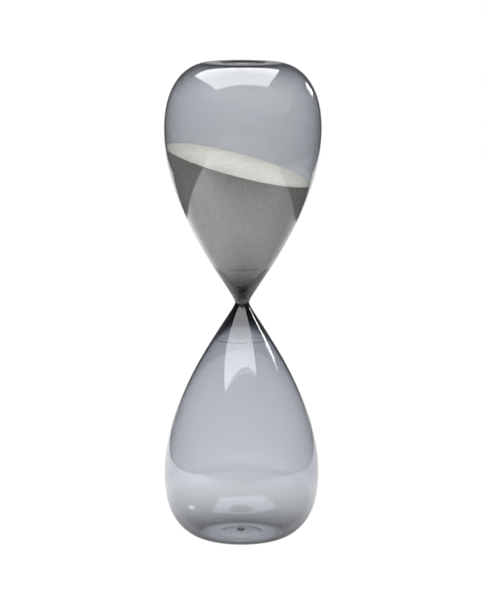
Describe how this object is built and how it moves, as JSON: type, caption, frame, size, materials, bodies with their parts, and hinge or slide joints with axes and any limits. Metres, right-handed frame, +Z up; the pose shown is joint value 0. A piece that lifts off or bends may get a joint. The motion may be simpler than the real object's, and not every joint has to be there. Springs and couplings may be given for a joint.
{
  "type": "hourglass",
  "caption": "Frameless sand timer: two drop-shaped smoked glass bulbs fused at a narrow throat, each with a dimpled flat end to stand on.",
  "frame": {"origin": "centre of the flat foot ring that the hourglass stands on", "axes": "+Z up along the axis of both bulbs; the sand's surface is lowest towards +X and a little towards -Y"},
  "size_m": [0.0816, 0.0816, 0.25],
  "materials": {
    "glass": "polished",
    "sand": "matte"
  },
  "bodies": {
    "root": {"upper_bulb": "glass", "throat": "glass", "lower_bulb": "glass", "fill_seal": "glass", "sand": "sand"}
  },
  "joints": []
}
